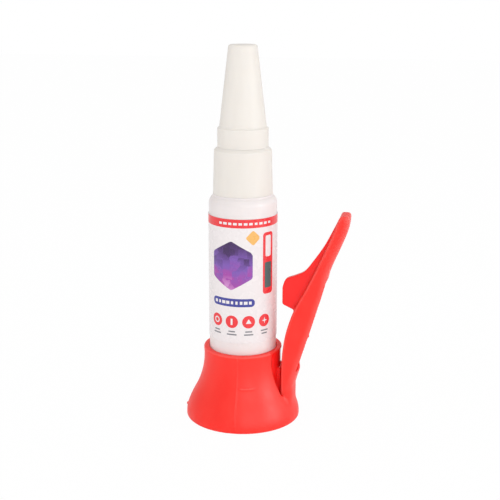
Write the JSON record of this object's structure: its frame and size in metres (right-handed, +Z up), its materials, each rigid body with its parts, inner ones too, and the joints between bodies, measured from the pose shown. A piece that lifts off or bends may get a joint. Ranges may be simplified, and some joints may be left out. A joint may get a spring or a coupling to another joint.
{
  "type": "glue bottle in squeeze stand",
  "caption": "Upright glue bottle with nozzle and tapered overcap, held in a bell-shaped stand whose leaning sprung lever presses a fin on the bottle's side to push glue out.",
  "frame": {"origin": "on the bottle's axis, at the table, in the underside of the stand's floor", "axes": "+Z up along the bottle's axis, +X towards the lever, +Y to complete a right-handed frame"},
  "size_m": [0.0634, 0.0448, 0.1448],
  "materials": {
    "stand_plastic": "satin red injection-moulded plastic",
    "bottle_plastic": "milky white blow-moulded plastic",
    "label_film": "printed gloss film",
    "glue": "clear liquid",
    "seal": "soft white liner",
    "nozzle_plastic": "translucent ivory plastic",
    "pin_steel": "bright drawn wire"
  },
  "bodies": {
    "stand": {"base_stand": "stand_plastic"},
    "lever": {"squeeze_lever": "stand_plastic"},
    "bottle": {"bottle": "bottle_plastic", "label": "label_film", "glue_fill": "glue"},
    "seal": {"neck_seal": "seal"},
    "nozzle": {"nozzle": "nozzle_plastic"},
    "cap": {"cap": "nozzle_plastic", "clog_pin": "pin_steel"}
  },
  "joints": [
    {"name": "lever_squeeze", "type": "hinge", "parent": "stand", "child": "lever", "pos_m": [0.0189, 0, 0.0115], "axis": [0, -1, 0], "range_deg": [0, 2.8], "stiffness_Nm_per_rad": 1.5},
    {"name": "bottle_lift", "type": "slide", "parent": "stand", "child": "bottle", "axis": [0, 0, 1], "range_m": [0, 0.09]},
    {"name": "nozzle_lift", "type": "slide", "parent": "bottle", "child": "seal", "axis": [0, 0, 1], "range_m": [0, 0.005]},
    {"name": "nozzle_turn", "type": "hinge", "parent": "seal", "child": "nozzle", "pos_m": [0, 0, 0.0895], "axis": [0, 0, 1], "range_deg": [0, 720]},
    {"name": "cap_lift", "type": "slide", "parent": "nozzle", "child": "cap", "axis": [0, 0, 1], "range_m": [0, 0.04]}
  ],
  "couplings": [
    {"joint": "nozzle_lift", "follows": "nozzle_turn", "m_per_rad": 0.00039788}
  ]
}
